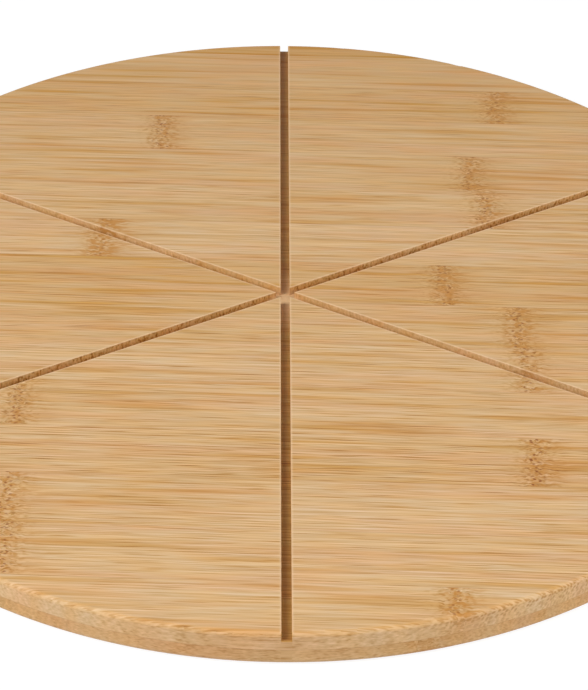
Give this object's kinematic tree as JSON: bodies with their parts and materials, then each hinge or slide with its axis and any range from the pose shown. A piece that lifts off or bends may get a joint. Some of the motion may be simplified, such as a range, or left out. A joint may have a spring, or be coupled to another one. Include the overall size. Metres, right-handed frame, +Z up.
{
  "type": "pizza serving board",
  "caption": "Flat round serving board glued up from bamboo staves in two plies, with straight grooves across the top face that mark out equal slices.",
  "frame": {"origin": "centre of the underside, on the surface that the board lies on", "axes": "+Z up, out of the grooved serving face; +Y away from the viewer along the groove that runs front to back; +X to the right, with the staves' grain turned 2.2 degrees clockwise from it"},
  "size_m": [0.32, 0.32, 0.012],
  "materials": {
    "bamboo_top": "satin, oiled",
    "bamboo_bottom": "satin, oiled"
  },
  "bodies": {
    "root": {"top_stave_01": "bamboo_top", "top_stave_02": "bamboo_top", "top_stave_03": "bamboo_top", "top_stave_04": "bamboo_top", "top_stave_05": "bamboo_top", "top_stave_06": "bamboo_top", "top_stave_07": "bamboo_top", "top_stave_08": "bamboo_top", "top_stave_09": "bamboo_top", "top_stave_10": "bamboo_top", "top_stave_11": "bamboo_top", "top_stave_12": "bamboo_top", "top_stave_13": "bamboo_top", "top_stave_14": "bamboo_top", "top_stave_15": "bamboo_top", "bottom_stave_01": "bamboo_bottom", "bottom_stave_02": "bamboo_bottom", "bottom_stave_03": "bamboo_bottom", "bottom_stave_04": "bamboo_bottom", "bottom_stave_05": "bamboo_bottom", "bottom_stave_06": "bamboo_bottom", "bottom_stave_07": "bamboo_bottom", "bottom_stave_08": "bamboo_bottom", "bottom_stave_09": "bamboo_bottom", "bottom_stave_10": "bamboo_bottom", "bottom_stave_11": "bamboo_bottom", "bottom_stave_12": "bamboo_bottom", "bottom_stave_13": "bamboo_bottom", "bottom_stave_14": "bamboo_bottom", "bottom_stave_15": "bamboo_bottom"}
  },
  "joints": []
}
